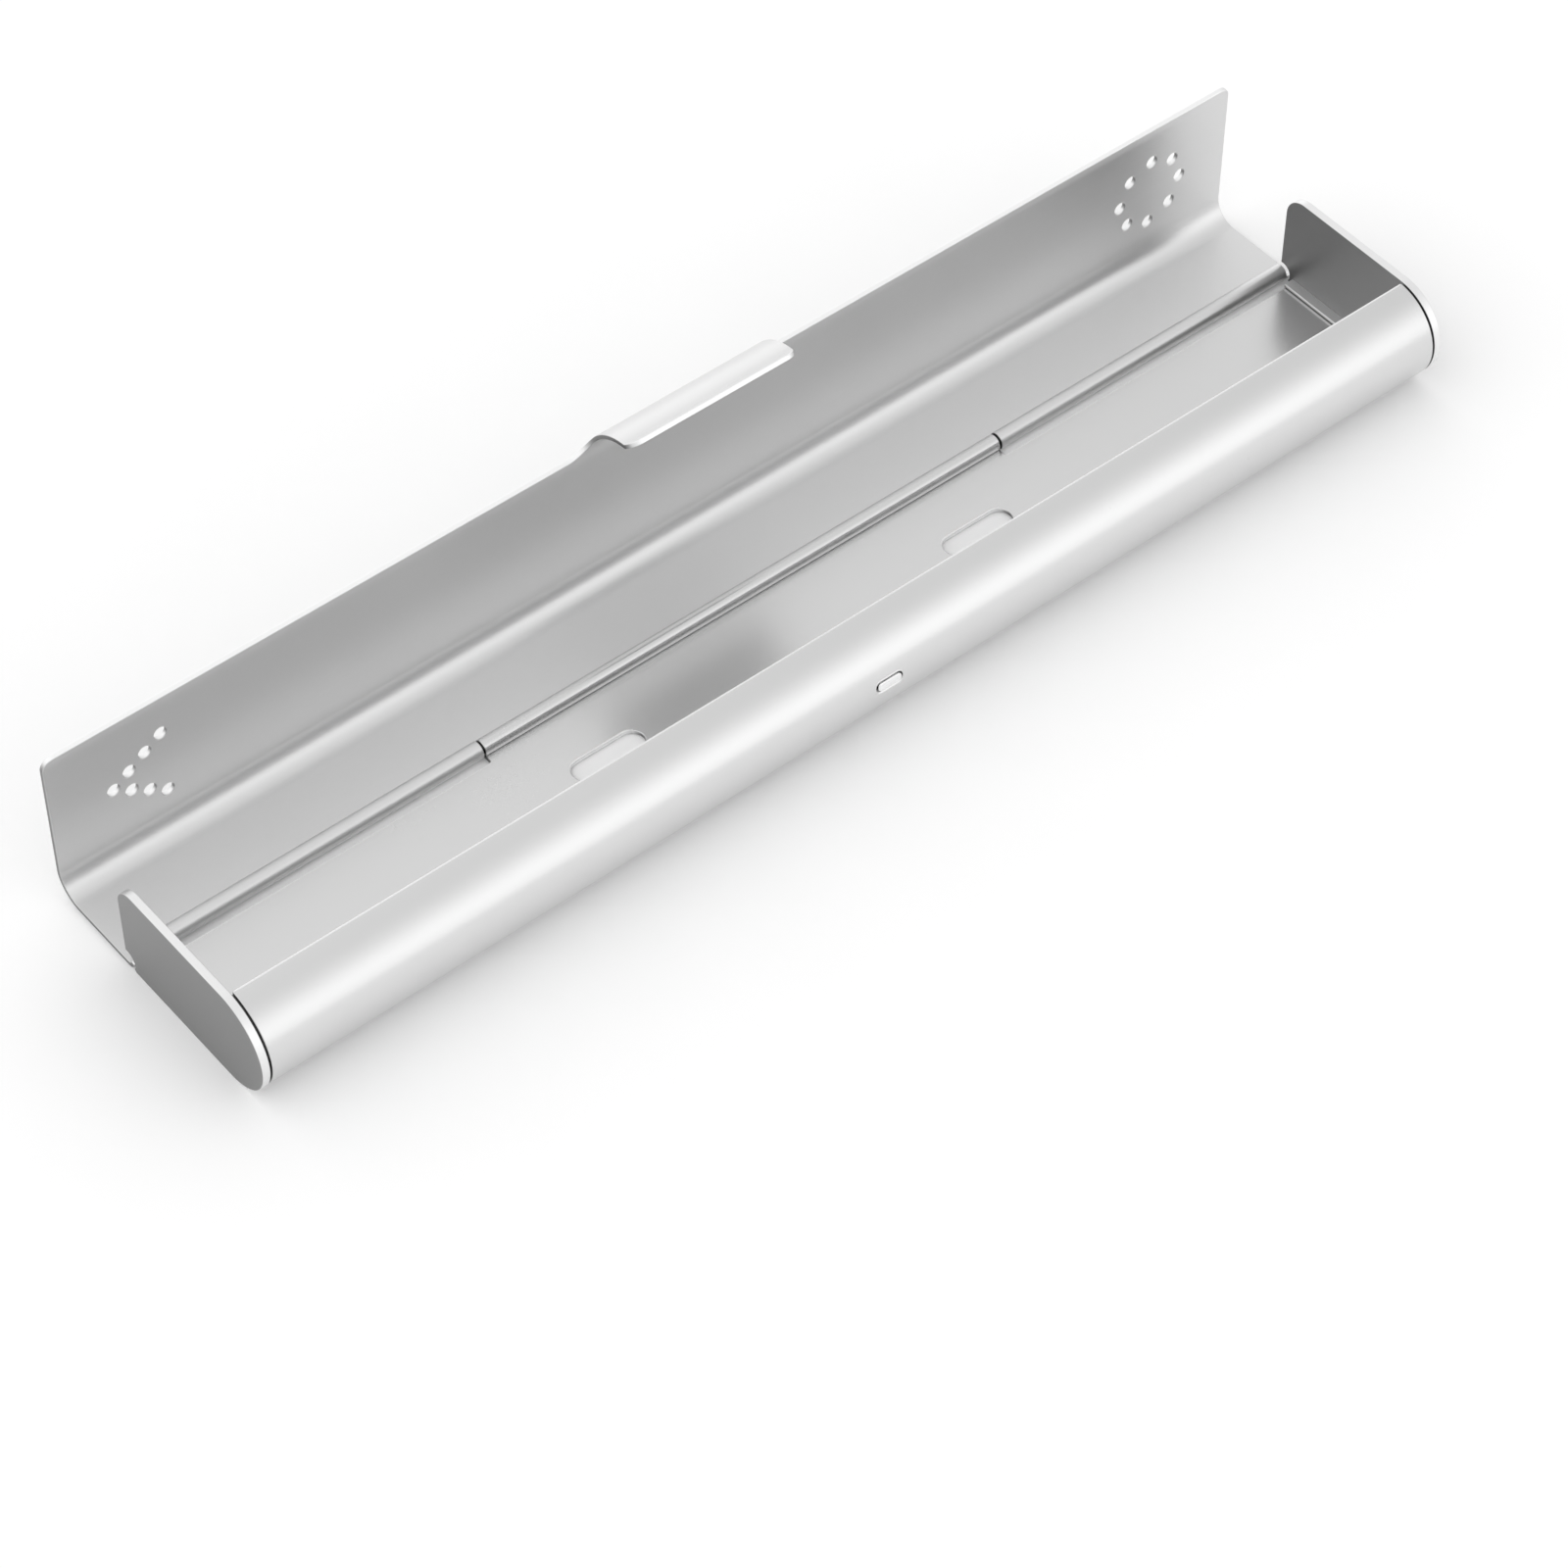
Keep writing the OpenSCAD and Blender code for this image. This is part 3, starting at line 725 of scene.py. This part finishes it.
def table():
    """A wide level sheet under the case, gridded so that it is a surface and not a stray face."""
    half, lines, below = 10, 9, 0.00002
    x, y = np.meshgrid(*[np.linspace(-half, half, lines)] * 2, indexing="ij")
    points = np.stack([x.ravel(), y.ravel(), np.full(lines ** 2, -below)], 1)
    i = np.arange(lines ** 2).reshape(lines, lines)
    faces = np.stack([i[:-1, :-1], i[1:, :-1], i[1:, 1:], i[:-1, 1:]], 2).reshape(-1, 4)
    mesh = bpy.data.meshes.new("table")
    mesh.from_pydata(points.tolist(), [], faces.tolist())
    material = bpy.data.materials.new("pale_table")
    material.use_nodes = True
    tree = material.node_tree
    place = add_node(tree, "TexCoord", {}).outputs["Object"]
    mottle = add_node(tree, "TexNoise", {"Vector": place, "Scale": 60, "Detail": 4}).outputs["Fac"]
    colour = mix(tree, "RGBA", mottle, (0.97, 0.97, 0.97, 1), (0.985, 0.985, 0.985, 1))
    surface = tree.nodes["Principled BSDF"].inputs
    tree.links.new(colour, surface["Base Color"])
    surface["Roughness"].default_value = 0.9
    surface["Specular IOR Level"].default_value = 0.0
    mesh.materials.append(material)
    obj = bpy.data.objects.new("table", mesh)
    bpy.context.scene.collection.objects.link(obj)


def studio(even, glows):
    """World light: an even level from all sides, plus soft glows as from large white panels. A glow is
    (azimuth, elevation, half width in degrees, strength), and falls off as the exponential of minus
    the square of the angle from its middle, counted in half widths."""
    world = bpy.data.worlds.new("studio")
    bpy.context.scene.world = world
    world.use_nodes = True
    tree = world.node_tree
    outward = add_node(tree, "TexCoord", {}).outputs["Generated"]
    total = even
    for azimuth, elevation, width, strength in glows:
        a, e, w = (math.radians(v) for v in (azimuth, elevation, width))
        middle = (math.sin(a) * math.cos(e), -math.cos(a) * math.cos(e), math.sin(e))
        cosine = add_node(tree, "VectorMath", {0: outward, 1: middle}, operation="DOT_PRODUCT")
        steep = 2 / w ** 2
        fall = {0: cosine.outputs["Value"], 1: steep, 2: -steep}
        fall = add_node(tree, "Math", fall, operation="MULTIPLY_ADD").outputs[0]
        glow = add_node(tree, "Math", {0: fall}, operation="EXPONENT").outputs[0]
        total = add_node(tree, "Math", {0: glow, 1: strength, 2: total}, operation="MULTIPLY_ADD").outputs[0]
    sky = tree.nodes["Background"].inputs
    sky["Color"].default_value = (1, 1, 1, 1)
    tree.links.new(total, sky["Strength"])


table()
studio(0.76, [(28, 18, 32, 0.66), (-120, 40, 52, 0.56), (155, 10, 26, 0.55)])

CAMERA_AZIMUTH, CAMERA_ELEVATION, CAMERA_ROLL = -39.5177, 49.4249, 0.2691
CAMERA_AIM, CAMERA_DISTANCE, CAMERA_LENS = (-0.017705, -0.014734, 0.0), 0.662885, 111.2314
azimuth, elevation, roll = (math.radians(v) for v in (CAMERA_AZIMUTH, CAMERA_ELEVATION, CAMERA_ROLL))
back = Vector((
    math.sin(azimuth) * math.cos(elevation), -math.cos(azimuth) * math.cos(elevation), math.sin(elevation)))
level = Vector((0, 0, 1)).cross(back).normalized()
rise = back.cross(level)
right = level * math.cos(roll) + rise * math.sin(roll)
turn = Matrix((right, back.cross(right), back)).transposed().to_4x4()
turn.translation = Vector(CAMERA_AIM) + back * CAMERA_DISTANCE
camera = bpy.data.objects.new("camera", bpy.data.cameras.new("camera"))
camera.data.lens = CAMERA_LENS
camera.data.sensor_width = 36
camera.data.sensor_fit = "HORIZONTAL"
camera.data.clip_start = 0.01
camera.data.clip_end = 20
camera.matrix_world = turn
bpy.context.scene.collection.objects.link(camera)
bpy.context.scene.camera = camera

bpy.context.scene.view_settings.view_transform = "Standard"
